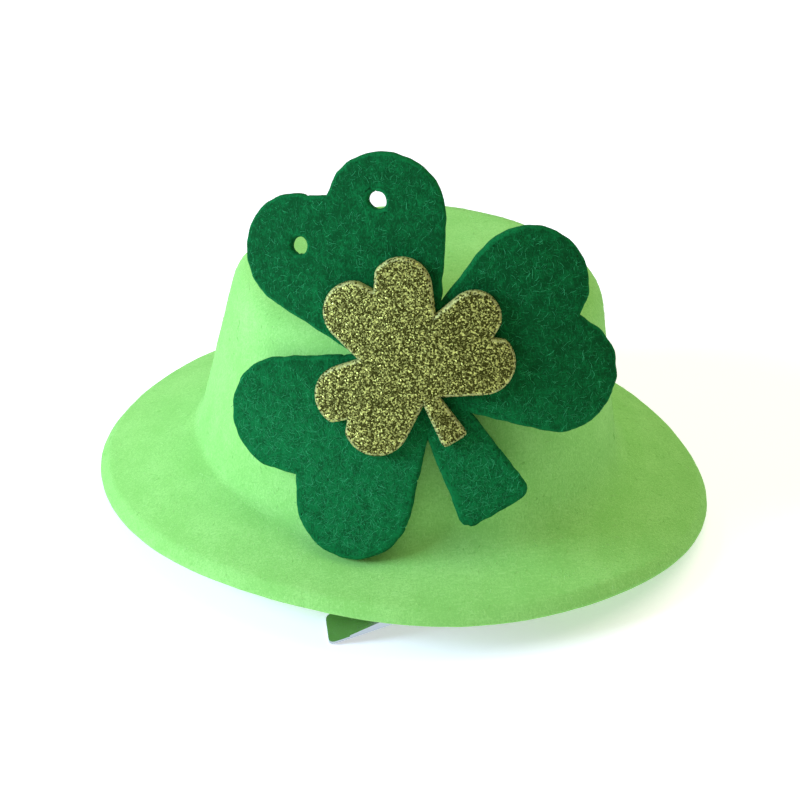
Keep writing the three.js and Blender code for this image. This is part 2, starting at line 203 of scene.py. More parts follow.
class StageSettings(bpy.types.PropertyGroup):
    """Camera, floor and lights."""
    distance: size("Camera distance", "From the camera to the hat's crease", 450)
    elevation: slant("Camera elevation", "Over the brim's plane", 33.23)
    roll: slant("Camera roll", "Turn about the view", 4.26)
    lens: number("Lens", "Focal length on a 36 mm sensor", 95.53)
    shift_across: number("Shift across", "Framing, share of the width", -0.0101)
    shift_up: number("Shift up", "Framing, share of the height", 0.0372)
    floor: tint("Floor", "Colour of the paper floor", "#f9fafe")
    key: number("Key light", "Power of the window at the left", 7.3, unit="POWER")
    key_tint: tint("Key colour", "Colour of the window's daylight", "#c7dbff")
    ceiling: number("Ceiling light", "Power of the light above", 6.6, unit="POWER")
    sky: number("Room light", "Strength of the even light all round", 0.31)
    sky_tint: tint("Room colour", "Colour of the room's light", "#fff6e2")


def settings(name):
    """The scene's settings of one group."""
    return getattr(bpy.context.scene, "top_hat_" + name)


# Meshes and objects

# Corners nearer than this are one
SAME_PLACE = 1e-6


def new_object(name, data):
    """An object in the scene, at the origin."""
    made = bpy.data.objects.new(name, data)
    bpy.context.scene.collection.objects.link(made)
    return made


def new_piece(name, points, faces, material):
    """A mesh object of its own, smooth and in one material."""
    mesh = bpy.data.meshes.new(name)
    mesh.from_pydata([tuple(p) for p in points], [], faces)
    mesh.materials.append(material)
    mesh.shade_smooth()
    return new_object(name, mesh)


def weld(piece):
    """Joins corners in the same place; it is an error if the faces point inwards."""
    form = bmesh.new()
    form.from_mesh(piece.data)
    bmesh.ops.remove_doubles(form, verts=form.verts, dist=SAME_PLACE)
    if form.calc_volume(signed=True) <= 0:
        raise RuntimeError(piece.name + " is inside out")
    form.to_mesh(piece.data)
    form.free()


def baked(piece):
    """Turns a piece with modifiers into a plain mesh."""
    depsgraph = bpy.context.evaluated_depsgraph_get()
    mesh = bpy.data.meshes.new_from_object(piece.evaluated_get(depsgraph), depsgraph=depsgraph)
    piece.modifiers.clear()
    piece.data = mesh
    mesh.name = piece.name
    return piece


def grown(name, mesh, tree, **inputs):
    """A piece made by a node tree on a mesh."""
    piece = new_object(name, mesh)
    modifier = piece.modifiers.new(tree.name, "NODES")
    modifier.node_group = tree
    for socket in tree.interface.items_tree:
        if socket.name in inputs:
            modifier[socket.identifier] = inputs[socket.name]
    return baked(piece)


def seat(piece, body, slot, *nodes):
    """The piece rides on a body and stands for these solids, which it hides; the slot is not used."""
    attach(piece, body)
    if nodes:
        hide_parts(*nodes)


def set_attribute(piece, name, values):
    """A number at each point of the mesh, for node trees and materials."""
    attribute = piece.data.attributes.new(name, "FLOAT", "POINT")
    attribute.data.foreach_set("value", np.asarray(values, np.float32))


def lathe_faces(rings, segments):
    """Faces round a turned shape, whose points are given section by section."""
    faces = []
    for s in range(segments):
        here, beside = s * rings, (s + 1) % segments * rings
        faces += [(here + r, here + r + 1, beside + r + 1, beside + r) for r in range(rings - 1)]
    return faces


def moved(matrix, points):
    """Points through a 4x4 matrix, as an array."""
    turn = np.array(matrix)
    return np.asarray(points) @ turn[:3, :3].T + turn[:3, 3]


def lumps(points, grain):
    """A soft random height from -1 to 1 at each point, in lumps of about the grain's size."""
    return np.array([noise.noise(Vector(p) / grain) for p in points])


# Node trees

def add_node(tree, kind, inputs=None, **choices):
    """Adds a node with its choices; an input is a value, a socket, or a node whose first output is linked."""
    node = tree.nodes.new(kind)
    for name, value in choices.items():
        setattr(node, name, value)
    for key, value in (inputs or {}).items():
        if isinstance(value, bpy.types.Node):
            value = next(socket for socket in value.outputs if socket.enabled)
        if isinstance(value, bpy.types.NodeSocket):
            tree.links.new(value, node.inputs[key])
        else:
            node.inputs[key].default_value = value
    return node


def per(millimetres):
    """Texture scale on Object coordinates for a pattern of that size."""
    return 1 / (millimetres * MM)


def new_material(name):
    """An empty node material and its tree."""
    material = bpy.data.materials.new(name)
    material.use_nodes = True
    material.node_tree.nodes.clear()
    return material, material.node_tree


def finished(material, look):
    """Ends a material in one shader with this look."""
    shader = add_node(material.node_tree, "ShaderNodeBsdfPrincipled", look)
    add_node(material.node_tree, "ShaderNodeOutputMaterial", {"Surface": shader})
    return material


# Layers of crossed fibres in felt, turned like this in radians
FIBRE_TURNS = ((0, 0.1, 0.3), (0.2, 1.1, 0.9), (-0.3, -1.0, 2.1), (0.5, 1.7, -0.6))
# Height midway between the painted pit shade and the face, the clouds' share in it, and how much lighter the
# paling attribute makes the felt
FELT_MIDWAY = 0.59
CLOUD_SHARE = 0.2
PALING_AMOUNT = 0.95


def felt_material(name, face, pit_shade, fibre_mm, cloud_mm, depth_mm, contrast, sheen):
    """Felt, matted from short fibres: matt, crossed by fibres, with painted shade in the pits between them,
    and paler where the paling attribute says so.
    """
    material, tree = new_material(name)
    place = add_node(tree, "ShaderNodeTexCoord").outputs["Object"]
    height = None
    for turn in FIBRE_TURNS:
        lie = add_node(tree, "ShaderNodeMapping", {
            "Vector": place, "Rotation": turn, "Scale": [length * MM for length in fibre_mm],
        }, vector_type="TEXTURE")
        strand = add_node(tree, "ShaderNodeTexNoise", {
            "Vector": lie, "Scale": 1, "Detail": 3, "Roughness": 0.6, "Distortion": 0.6,
        })
        if height:
            strand = add_node(tree, "ShaderNodeMath", {0: height, 1: strand}, operation="MAXIMUM")
        height = strand
    clouds = add_node(tree, "ShaderNodeTexNoise", {"Vector": place, "Scale": per(cloud_mm), "Detail": 2})
    mixed = add_node(tree, "ShaderNodeMix", {"Factor": CLOUD_SHARE, 2: height, 3: clouds}, data_type="FLOAT")
    # Paling: lighter towards the bottom of the shamrock, and painted light on its cut edge
    paling = add_node(tree, "ShaderNodeAttribute", attribute_name="paling").outputs["Fac"]
    raised = add_node(tree, "ShaderNodeMath", {
        0: paling, 1: PALING_AMOUNT * contrast, 2: mixed,
    }, operation="MULTIPLY_ADD")
    share = add_node(tree, "ShaderNodeMapRange", {
        "Value": raised, "From Min": FELT_MIDWAY - contrast, "From Max": FELT_MIDWAY + contrast,
    })
    # Painted shade: the colour goes towards the pit colour where the fibre height is low
    colour = add_node(tree, "ShaderNodeMix", {
        "Factor": share, 6: (*pit_shade, 1), 7: (*face, 1),
    }, data_type="RGBA")
    bump = add_node(tree, "ShaderNodeBump", {"Strength": 0.8, "Distance": depth_mm * MM, "Height": height})
    return finished(material, {
        "Base Color": colour, "Roughness": 0.95, "Specular IOR Level": 0.05,
        "Sheen Weight": sheen, "Sheen Roughness": 0.6, "Normal": bump,
    })


def fibre_material(name, dark, light):
    """Loose felt fibres: matt, each of its own tone."""
    material, tree = new_material(name)
    tone = add_node(tree, "ShaderNodeAttribute", attribute_name="tone").outputs["Fac"]
    colour = add_node(tree, "ShaderNodeMix", {
        "Factor": tone, 6: (*dark, 1), 7: (*light, 1),
    }, data_type="RGBA")
    return finished(material, {"Base Color": colour, "Roughness": 0.8, "Specular IOR Level": 0.2})


# Size of a speck of glitter in the glue film, in millimetres; each speck is painted at random between painted
# shade and a painted glint
SPECK = 0.3
# The higher this power, the fewer flakes get a painted glint and the more are painted in dark shade
FEW_PAINTED_GLINTS = 5.5


def foam_material(name, core, glitter_painted_shade, gold):
    """Foam sheet faced with glitter: a glue film of small specks, each painted at random between a dark olive
    shade and a bright gold glint.
    """
    material, tree = new_material(name)
    place = add_node(tree, "ShaderNodeTexCoord").outputs["Object"]
    specks = add_node(tree, "ShaderNodeTexVoronoi", {"Vector": place, "Scale": per(SPECK)})
    speck = add_node(tree, "ShaderNodeSeparateColor", {"Color": specks.outputs["Color"]}).outputs
    share = add_node(tree, "ShaderNodeMapRange", {"Value": speck["Red"], "From Min": 0.25, "From Max": 1.0})
    glitter = add_node(tree, "ShaderNodeMix", {
        "Factor": share, 6: (*glitter_painted_shade, 1), 7: (*gold, 1),
    }, data_type="RGBA")
    cover = add_node(tree, "ShaderNodeAttribute", attribute_name="cover").outputs["Fac"]
    colour = add_node(tree, "ShaderNodeMix", {"Factor": cover, 6: (*core, 1), 7: glitter}, data_type="RGBA")
    bump = add_node(tree, "ShaderNodeBump", {
        "Strength": 0.5, "Distance": 0.08 * MM, "Height": speck["Green"],
    })
    return finished(material, {
        "Base Color": colour, "Roughness": 0.5, "Metallic": 0.2, "Specular IOR Level": 0.15, "Normal": bump,
    })


def flake_material(name, glitter_painted_shade, gold):
    """Cut metallised film: small mirrors, each painted at random, most in a dark olive shade and a few in a
    bright gold glint that stands in for the light they catch.
    """
    material, tree = new_material(name)
    tone = add_node(tree, "ShaderNodeAttribute", attribute_name="tone").outputs["Fac"]
    few = add_node(tree, "ShaderNodeMath", {0: tone, 1: FEW_PAINTED_GLINTS}, operation="POWER")
    colour = add_node(tree, "ShaderNodeMix", {"Factor": few, 6: (*glitter_painted_shade, 1), 7: (*gold, 1)}, data_type="RGBA")
    return finished(material, {
        "Base Color": colour, "Roughness": 0.3, "Metallic": 0.6, "Specular IOR Level": 0.15,
    })


# Size of the worn patches in the plating, and of the ripples that stamping leaves, in millimetres
WEAR = 1.5
RIPPLE = 4


def plated_material(name, steel):
    """Stamped steel with bright nickel plating: mirror-like, a little blurred by handling."""
    material, tree = new_material(name)
    place = add_node(tree, "ShaderNodeTexCoord").outputs["Object"]
    wear = add_node(tree, "ShaderNodeTexNoise", {"Vector": place, "Scale": per(WEAR), "Detail": 6})
    rough = add_node(tree, "ShaderNodeMapRange", {
        "Value": wear, "From Min": 0.35, "From Max": 0.75, "To Min": 0.07, "To Max": 0.26,
    })
    ripple = add_node(tree, "ShaderNodeTexNoise", {"Vector": place, "Scale": per(RIPPLE), "Detail": 1})
    bump = add_node(tree, "ShaderNodeBump", {"Strength": 0.15, "Distance": 0.2 * MM, "Height": ripple})
    return finished(material, {
        "Base Color": (*steel, 1), "Metallic": 1, "Roughness": rough, "Normal": bump,
    })


# The paper's own even glow, which keeps it white
PAPER_GLOW = 0.4


def paper_material(name, pale):
    """Studio paper: flat and matt, with an even glow of its own so that it stays white."""
    return finished(new_material(name)[0], {
        "Base Color": (*pale, 1), "Roughness": 0.9, "Specular IOR Level": 0.1,
        "Emission Color": (*pale, 1), "Emission Strength": PAPER_GLOW,
    })


def new_tree(name, **inputs):
    """A geometry tree with a surface and named inputs, and the sockets that give them."""
    tree = bpy.data.node_groups.new(name, "GeometryNodeTree")
    for socket, kind in {"Surface": "Geometry", **inputs}.items():
        tree.interface.new_socket(socket, in_out="INPUT", socket_type="NodeSocket" + kind)
    tree.interface.new_socket("Piece", in_out="OUTPUT", socket_type="NodeSocketGeometry")
    return tree, add_node(tree, "NodeGroupInput").outputs


def end_tree(tree, instances, material):
    """Gives each instance a tone of its own, realizes them and sets the material."""
    tone = add_node(tree, "FunctionNodeRandomValue", {"Seed": 5}, data_type="FLOAT")
    toned = add_node(tree, "GeometryNodeStoreNamedAttribute", {
        "Geometry": instances, "Name": "tone", "Value": tone,
    }, data_type="FLOAT", domain="INSTANCE")
    real = add_node(tree, "GeometryNodeRealizeInstances", {"Geometry": toned})
    painted = add_node(tree, "GeometryNodeSetMaterial", {"Geometry": real, "Material": material})
    add_node(tree, "NodeGroupOutput", {"Piece": painted})
    return tree


def scatter(tree, inputs, shape, tilts, scales, material):
    """Spreads a shape over the surface, any way round, tilted and scaled within limits."""
    cover = add_node(tree, "GeometryNodeInputNamedAttribute", {"Name": "cover"}, data_type="FLOAT")
    density = add_node(tree, "ShaderNodeMath", {0: inputs["Density"], 1: cover}, operation="MULTIPLY")
    points = add_node(tree, "GeometryNodeDistributePointsOnFaces", {
        "Mesh": inputs["Surface"], "Density": density, "Seed": inputs["Seed"],
    })
    tilt = add_node(tree, "FunctionNodeRandomValue", {
        0: (tilts[0], 0, 0), 1: (tilts[1], 0, 2 * math.pi), "Seed": 3,
    }, data_type="FLOAT_VECTOR")
    tilted = add_node(tree, "FunctionNodeEulerToRotation", {"Euler": tilt})
    turn = add_node(tree, "FunctionNodeRotateRotation", {
        "Rotation": points.outputs["Rotation"], "Rotate By": tilted,
    }, rotation_space="LOCAL")
    scale = add_node(tree, "FunctionNodeRandomValue", {
        2: scales[0], 3: scales[1], "Seed": 4,
    }, data_type="FLOAT")
    spread = add_node(tree, "GeometryNodeInstanceOnPoints", {
        "Points": points, "Instance": shape, "Rotation": turn, "Scale": scale,
    })
    return end_tree(tree, spread, material)


# A fibre's bend and tip, as shares of its length: it curves to one side, and is then tilted down to the felt
FIBRE_BEND = (0, 0, 0.55)
FIBRE_TIP = (0.28, -0.14, 0.85)
FIBRE_TILTS = (math.radians(76), math.radians(90))
FIBRE_SCALES = (0.4, 1.2)


def nap_tree(name, material):
    """Loose fibres: short bent threads that lie almost flat on the felt."""
    tree, inputs = new_tree(name, Density="Float", Length="Float", Width="Float", Seed="Int")
    bend, tip = (
        add_node(tree, "ShaderNodeVectorMath", {0: shares, "Scale": inputs["Length"]}, operation="SCALE")
        for shares in (FIBRE_BEND, FIBRE_TIP)
    )
    thread = add_node(tree, "GeometryNodeCurveQuadraticBezier", {
        "Resolution": 2, "Start": (0, 0, 0), "Middle": bend, "End": tip,
    })
    radius = add_node(tree, "ShaderNodeMath", {0: inputs["Width"], 1: 0.5}, operation="MULTIPLY")
    section = add_node(tree, "GeometryNodeCurvePrimitiveCircle", {"Resolution": 3, "Radius": radius})
    fibre = add_node(tree, "GeometryNodeCurveToMesh", {
        "Curve": thread, "Profile Curve": section, "Fill Caps": True,
    })
    return scatter(tree, inputs, fibre, FIBRE_TILTS, FIBRE_SCALES, material)


# Height of a flake's middle, as a share of its width
FLAKE_RISE = 0.16
FLAKE_TILTS = (0, math.radians(24))
FLAKE_SCALES = (0.6, 1.2)


def glitter_tree(name, material):
    """Glitter: small five-sided flakes, slightly raised in the middle, each tilted its own way."""
    tree, inputs = new_tree(name, Density="Float", Width="Float", Seed="Int")
    radius = add_node(tree, "ShaderNodeMath", {0: inputs["Width"], 1: 0.5}, operation="MULTIPLY")
    rise = add_node(tree, "ShaderNodeMath", {0: inputs["Width"], 1: FLAKE_RISE}, operation="MULTIPLY")
    flake = add_node(tree, "GeometryNodeMeshCone", {
        "Vertices": 5, "Radius Top": 0.0, "Radius Bottom": radius, "Depth": rise,
    })
    return scatter(tree, inputs, flake, FLAKE_TILTS, FLAKE_SCALES, material)


def wire_tree(name, material):
    """Spring wire: a round section along the coil's line."""
    tree, inputs = new_tree(name, Radius="Float")
    section = add_node(tree, "GeometryNodeCurvePrimitiveCircle", {
        "Resolution": 12, "Radius": inputs["Radius"],
    })
    line = add_node(tree, "GeometryNodeMeshToCurve", {"Mesh": inputs["Surface"]})
    wire = add_node(tree, "GeometryNodeCurveToMesh", {
        "Curve": line, "Profile Curve": section, "Fill Caps": True,
    })
    return end_tree(tree, wire, material)


# Felt hat

TOP_STEPS = 26
EDGE_STEPS = 12
WALL_STEPS = 30
CREASE_STEPS = 14
BRIM_STEPS = 18
RIM_STEPS = 6
CUT_STEPS = 6
HAT_SEGMENTS = 240
# Directions round the hat, where the front is this one
FRONT = math.radians(-90)
SOFTEST_CREASE = math.radians(-50)
SHARPEST_CREASE = math.radians(-148)
SHARP_SPREAD = math.radians(36)
# The rim's front edge is low here, counted from the front, and again after each period; the wave dies away
# from the edge to the crease by this power
EDGE_WAVE_LOW = math.radians(-55)
EDGE_WAVE_PERIOD = math.radians(85)
EDGE_WAVE_POWER = 3
# The crown's top sinks about this direction, and the higher the power, the more evenly
SLUMP_MIDDLE = math.radians(130)
SLUMP_SPREAD = math.radians(40)
SLUMP_POWER = 4
# The felt's soft lumps: their sizes, and the fine ones' share of the height
COARSE_LUMP = 7 * MM
FINE_LUMP = 2.4 * MM
FINE_LUMP_SHARE = 0.6
# Share of loose fibres inside the hat, and no loose fibres within this height over the floor
INSIDE_NAP = 0.15
NAP_CLEARANCE = 2.5 * MM


def straight(start, end, steps):
    """Points on a straight stretch, without its first one."""
    return [start + (end - start) * step / steps for step in range(1, steps + 1)]


def rounded_path(corners):
    """Points of a path with round corners; a corner is its place, radius, and steps before and round it."""
    points = [corners[0][0]]
    for i in range(1, len(corners) - 1):
        at, radius, run_steps, arc_steps = corners[i]
        back = (corners[i - 1][0] - at).normalized()
        ahead = (corners[i + 1][0] - at).normalized()
        half = back.angle(ahead) / 2
        centre = at + (back + ahead).normalized() * radius / math.sin(half)
        first = at + back * radius / math.tan(half) - centre
        last = at + ahead * radius / math.tan(half) - centre
        sweep = math.atan2(first.cross(last), first.dot(last))
        points += straight(points[-1], centre + first, run_steps)
        for step in range(1, arc_steps + 1):
            points.append(centre + Matrix.Rotation(sweep * step / arc_steps, 2) @ first)
    at, _, run_steps, _ = corners[-1]
    return points + straight(points[-1], at, run_steps)


def oval(half_width, half_depth, angle, power=2):
    """Radius of an oval in one direction."""
    across = abs(math.cos(angle) / half_width) ** power
    along = abs(math.sin(angle) / half_depth) ** power
    return (across + along) ** (-1 / power)


def frontness(angle):
    """From 1 at the front to 0 at the back."""
    return (1 - math.sin(angle)) / 2


def away_from(middle, angle):
    """Angle from a direction, up to half a turn either way."""
    return (angle - middle + math.pi) % (2 * math.pi) - math.pi


def rim_drop(hat, angle):
    """How far the rim lies under the crease in one direction."""
    wave = hat.brim_wave * frontness(angle) * math.cos(4 * angle)
    return hat.brim_drop + hat.brim_saddle * math.cos(2 * angle) + wave


def crease_at(hat, angle):
    """Rounding between crown and brim in one direction."""
    soft = hat.crease_softening * math.cos(angle - SOFTEST_CREASE)
    sharp = hat.crease_fold * math.exp(-(away_from(SHARPEST_CREASE, angle) / SHARP_SPREAD) ** 2)
    return hat.crease_radius + soft - sharp


def edge_drop(hat, angle, share):
    """How far the edge wave lowers the brim in one direction, by the share of the way from crease to rim."""
    wave = math.cos(2 * math.pi * (away_from(FRONT, angle) - EDGE_WAVE_LOW) / EDGE_WAVE_PERIOD)
    return hat.edge_wave * frontness(angle) ** 2 * wave * np.clip(share, 0, 1) ** EDGE_WAVE_POWER


def slump_drop(hat, angle, outwards, upwards):
    """How far the crown sinks in one direction, by the shares of the way to its edge and to its top."""
    around = math.exp(-(away_from(SLUMP_MIDDLE, angle) / SLUMP_SPREAD) ** SLUMP_POWER)
    return hat.crown_slump * around * np.clip(outwards, 0, 1) ** 2 * np.clip(upwards, 0, 1) ** 3


def hat_section(hat, angle):
    """Closed section of the felt in one direction: outside, cut edge, inside; and its outward normals."""
    top = oval(hat.top_width, hat.top_depth, angle)
    base = oval(hat.base_width, hat.base_depth, angle)
    rim = oval(hat.rim_width, hat.rim_depth, angle, hat.rim_power)
    low = -rim_drop(hat, angle)
    rim_turn = Vector((rim - hat.rim_turn_in, low + hat.rim_turn_drop))
    outside = np.array(rounded_path([
        (Vector((0, hat.crown_height + hat.crown_dome)), 0, 0, 0),
        (Vector((top, hat.crown_height)), hat.top_radius, TOP_STEPS, EDGE_STEPS),
        (Vector((base, 0)), crease_at(hat, angle), WALL_STEPS, CREASE_STEPS),
        (rim_turn, hat.rim_turn_radius, BRIM_STEPS, RIM_STEPS),
        (Vector((rim, low)), 0, 2, 0),
    ]))
    along = np.gradient(outside, axis=0)
    along /= np.linalg.norm(along, axis=1)[:, None]
    normals = np.stack([-along[:, 1], along[:, 0]], axis=1)
    normals[0] = (0, 1)
    inside = outside - normals * hat.wall
    middle = (outside[-1] + inside[-1]) / 2
    turns = np.linspace(0, math.pi, CUT_STEPS + 1)[1:-1, None]
    cut_normals = np.cos(turns) * normals[-1] + np.sin(turns) * along[-1]
    cut = middle + cut_normals * hat.wall / 2
    section = np.concatenate([outside, cut, inside[::-1]])
    section[:, 1] -= edge_drop(hat, angle, (section[:, 0] - base) / (rim - base))
    section[:, 1] -= slump_drop(hat, angle, section[:, 0] / top, section[:, 1] / hat.crown_height)
    return section, np.concatenate([normals, cut_normals, -normals[::-1]])


def hat_mesh(hat):
    """Points and faces of the whole hat, with soft lumps, and which points are on its outside."""
    points, cover = [], []
    for s in range(HAT_SEGMENTS):
        angle = 2 * math.pi * s / HAT_SEGMENTS
        section, normals = hat_section(hat, angle)
        rings = len(section)
        round_it = np.array([[math.cos(angle), math.sin(angle), 0], [0, 0, 1]])
        ring = section @ round_it
        lift = hat.unevenness * (lumps(ring, COARSE_LUMP) + FINE_LUMP_SHARE * lumps(ring, FINE_LUMP))
        lift[[0, -1]] = 0
        points.append(ring + (normals @ round_it) * lift[:, None])
        outer = (rings - CUT_STEPS + 1) // 2
        cover.append(np.where(np.arange(rings) < outer, 1.0, INSIDE_NAP))
    return np.concatenate(points), lathe_faces(rings, HAT_SEGMENTS), np.concatenate(cover)


def loose_nap(name, felt, slot, group, dark, light, seed):
    """Loose fibres on a felt piece, in the sizes of its settings."""
    tree = nap_tree(name, fibre_material(slot + "_loose_fibres", dark, light))
    nap = grown(
        name, felt.data, tree,
        Density=group.nap_density, Length=group.nap_length, Width=group.nap_width, Seed=seed,
    )
    seat(nap, "hat", slot)
    return nap


class TOPHAT_OT_felt_hat(bpy.types.Operator):
    """Makes the moulded felt hat and its loose fibres"""
    bl_idname = "tophat.felt_hat"
    bl_label = "Felt Hat"

    def execute(self, context):
        hat = settings("felt")
        felt = felt_material(
            "lime_felt_moulded", hat.lime, hat.lime_shade_and_dark_fibre,
            fibre_mm=(1.6, 0.32, 0.32), cloud_mm=8, depth_mm=0.15, contrast=0.075, sheen=0.06,
        )
        points, faces, cover = hat_mesh(hat)
        placed = moved(REST, points)
        shell = new_piece("felt_hat", placed, faces, felt)
        set_attribute(shell, "cover", cover * (placed[:, 2] > NAP_CLEARANCE))
        weld(shell)
        seat(shell, "hat", "lime_felt", "hat_shell")
        loose_nap("felt_hat_nap", shell, "lime_felt", hat, hat.lime_shade_and_dark_fibre, hat.lime_fibre, seed=11)
        return {"FINISHED"}


# Shamrocks

def turned(points, degrees):
    """Flat points turned about zero."""
    angle = math.radians(degrees)
    cos, sin = math.cos(angle), math.sin(angle)
    return np.asarray(points) @ np.array([[cos, sin], [-sin, cos]])


def lobe(out, side, radius, tip):
    """One half of a leaf that lies along +X: from its neck round the lobe to the middle line."""
    slope = math.atan2(side, out - tip) + math.asin(radius / math.hypot(out - tip, side))
    meet = math.asin(max(-1, -side / radius))
    points = [(LEAF_NECK, (LEAF_NECK - tip) * math.tan(slope))]
    for at in np.linspace(slope + math.pi / 2, meet, LOBE_STEPS):
        points.append((out + radius * math.cos(at), side + radius * math.sin(at)))
    return points


def leaf_outline(leaf):
    """Closed outline of a leaf, in millimetres."""
    left = lobe(leaf.out_left, leaf.side, leaf.radius_left, leaf.tip)
    right = lobe(leaf.out_right, leaf.side, leaf.radius_right, leaf.tip)
    mirrored = [(x, -y) for x, y in reversed(right)]

    def clear_of_notch(point):
        x, y = point
        return x < leaf.out_left or abs(y - leaf.notch_side) > leaf.side * NOTCH_HALF_SHARE

    notch = [(leaf.notch_out, leaf.notch_side)]
    return turned([*filter(clear_of_notch, left), *notch, *filter(clear_of_notch, mirrored)], leaf.angle)


def stem_outline(stem):
    """Closed outline of a stem that widens to its end, in millimetres."""
    end, half, corner = stem.length, stem.width_end / 2, stem.corner
    turns = np.linspace(0, math.pi / 2, CORNER_STEPS)
    upper = [(end - corner + corner * math.cos(t), half - corner + corner * math.sin(t)) for t in turns]
    lower = [(x, -y) for x, y in reversed(upper)]
    start = stem.width_middle / 2
    return turned([(0, -start)] + lower + upper + [(0, start)], stem.angle)


def outline_distance(points, outline):
    """Distance of flat points from a closed outline, negative inside."""
    starts, ends = outline, np.roll(outline, -1, axis=0)
    edges = ends - starts
    rel = points[:, None] - starts
    along = np.clip((rel * edges).sum(2) / (edges ** 2).sum(1), 0, 1)
    nearest = np.linalg.norm(rel - along[..., None] * edges, axis=2).min(1)
    above = starts[:, 1] > points[:, None, 1]
    crosses = above != (ends[:, 1] > points[:, None, 1])
    drop = np.where(edges[:, 1] == 0, 1, edges[:, 1])
    at = starts[:, 0] + (points[:, None, 1] - starts[:, 1]) * edges[:, 0] / drop
    inside = (crosses & (points[:, None, 0] < at)).sum(1) % 2 == 1
    return np.where(inside, -nearest, nearest)


def shamrock_distance(points, leaves, stem, holes, hole_radius):
    """Distance of flat points from the cut outline of a shamrock, negative inside."""
    outlines = [leaf_outline(leaf) for leaf in leaves] + [stem_outline(stem)]
    distance = np.min([outline_distance(points, outline) for outline in outlines], axis=0)
    for hole in holes:
        distance = np.maximum(distance, hole_radius - np.linalg.norm(points - hole, axis=1))
    return distance


def flat_grid(reach, spacing):
    """A square grid of flat points."""
    ticks = np.arange(-reach, reach + spacing, spacing)
    return np.stack(np.meshgrid(ticks, ticks, indexing="ij"), axis=-1)


def flat_cut(distance, reach, spacing=0.2):
    """Width, length and area of the sheet that a cut outline leaves, in millimetres."""
    points = flat_grid(reach, spacing).reshape(-1, 2)
    inside = points[distance(points) < 0]
    return *np.ptp(inside, axis=0), len(inside) * spacing ** 2


def cut_grid(distance, reach, spacing, inset):
    """A flat mesh of all that is deeper than the inset: points, faces, and the way outwards at each point."""
    points = flat_grid(reach, spacing)
    depth = distance(points.reshape(-1, 2)).reshape(points.shape[:2]) + inset
    slope = np.stack(np.gradient(depth, spacing), axis=-1)
    slope /= np.maximum(np.linalg.norm(slope, axis=-1), 1e-9)[..., None]
    kept = depth <= spacing / 2
    snapped = kept & (depth > -spacing / 2)
    points[snapped] -= slope[snapped] * depth[snapped][:, None]
    index = -np.ones(kept.shape, int)
    index[kept] = np.arange(kept.sum())
    faces = []
    for i, j in np.argwhere(kept[:-1, :-1] | kept[1:, :-1]):
        corners = [index[i, j], index[i + 1, j], index[i + 1, j + 1], index[i, j + 1]]
        face = tuple(int(c) for c in corners if c >= 0)
        if len(face) >= 3:
            faces.append(face)
    return points[kept], faces, slope[kept]


def rim_edges(faces):
    """Directed edges that only one face has."""
    edges = {(face[k - 1], face[k]) for face in faces for k in range(len(face))}
    return [edge for edge in edges if edge[::-1] not in edges]


def cut_sheet(distance, reach, spacing, edge, thickness, edge_profile):
    """A flat sheet with soft cut edges: points, faces, and 1 at each point of its front."""
    flat, faces, outward = cut_grid(distance, reach, spacing, edge)
    used = sorted({c for face in faces for c in face})
    renumber = {old: new for new, old in enumerate(used)}
    flat, outward = flat[used], outward[used]
    faces = [tuple(renumber[c] for c in face) for face in faces]
    count = len(used)
    front = np.column_stack([flat, np.full(count, thickness)])
    back = np.column_stack([flat, np.zeros(count)])
    rim = sorted(rim_edges(faces))
    loop = sorted({c for pair in rim for c in pair})
    place = {c: k for k, c in enumerate(loop)}
    layers = [np.column_stack([flat[loop] + outward[loop] * out, np.full(len(loop), height)])
              for out, height in edge_profile]
    points = np.concatenate([front, back, *layers])
    made = faces + [tuple(c + count for c in reversed(face)) for face in faces]
    between = np.arange(2 * count, len(points)).reshape(len(layers), len(loop)).tolist()
    rows = [loop, *between, [c + count for c in loop]]
    for a, b in rim:
        i, j = place[a], place[b]
        made += [(upper[j], upper[i], lower[i], lower[j]) for upper, lower in zip(rows, rows[1:])]
    return points, made, np.where(points[:, 2] > thickness / 2, 1.0, 0.0)


def soft_edge(edge, thickness, front_drop, back_rise, steps):
    """How far out and how high the cut edge is, from the front to the back of the sheet."""
    turns = [math.pi / 2 * step / steps for step in range(1, steps + 1)]
    front = [(edge * math.sin(t), thickness - front_drop * (1 - math.cos(t))) for t in turns]
    back = [(edge * math.cos(t), back_rise * (1 - math.sin(t))) for t in turns[:-1]]
    return front + [(edge, back_rise)] + back


def on_crown(shamrocks, points, thickness, centre):
    """Bends a flat sheet round the crown, leans it back and sets it at its centre."""
    radius = shamrocks.bend_radius + points[:, 2] - thickness
    turn = points[:, 0] / shamrocks.bend_radius
    bent = np.stack([
        radius * np.sin(turn), shamrocks.bend_radius - radius * np.cos(turn), points[:, 1],
    ], axis=1)
    lean = Euler((-shamrocks.lean, 0, shamrocks.turn)).to_matrix().to_4x4()
    return moved(REST @ Matrix.Translation(centre) @ lean, bent)


FELT_CENTRE = Vector((1.2, -35.6, 36.2)) * MM
FOAM_CENTRE = Vector((-0.3, -37.6, 38.25)) * MM
FELT_REACH = 46
# How far the felt's cut strays from its outline, and the length of such a stray, in millimetres
CUT_UNEVEN = 0.25
CUT_GRAIN = 2.4
# The felt's lumps: their sizes in millimetres, the fine ones' share of the height, and how far all are sunk
FELT_COARSE_LUMP = 3.0
FELT_FINE_LUMP = 1.1
FELT_FINE_SHARE = 0.8
FELT_SUNK = 0.5
# Loose fibres thin out over this width to this share along the cut edge, in millimetres
NAP_INSET = 1.2
EDGE_NAP = 0.03
# The lower leaf and the stem are lighter and have more loose fibres: from this height down, fully so this far
# below it, in millimetres; the rest has this share of the loose fibres
PALER_TOP = 5
PALER_HEIGHT = 20
LEAST_NAP = 0.3
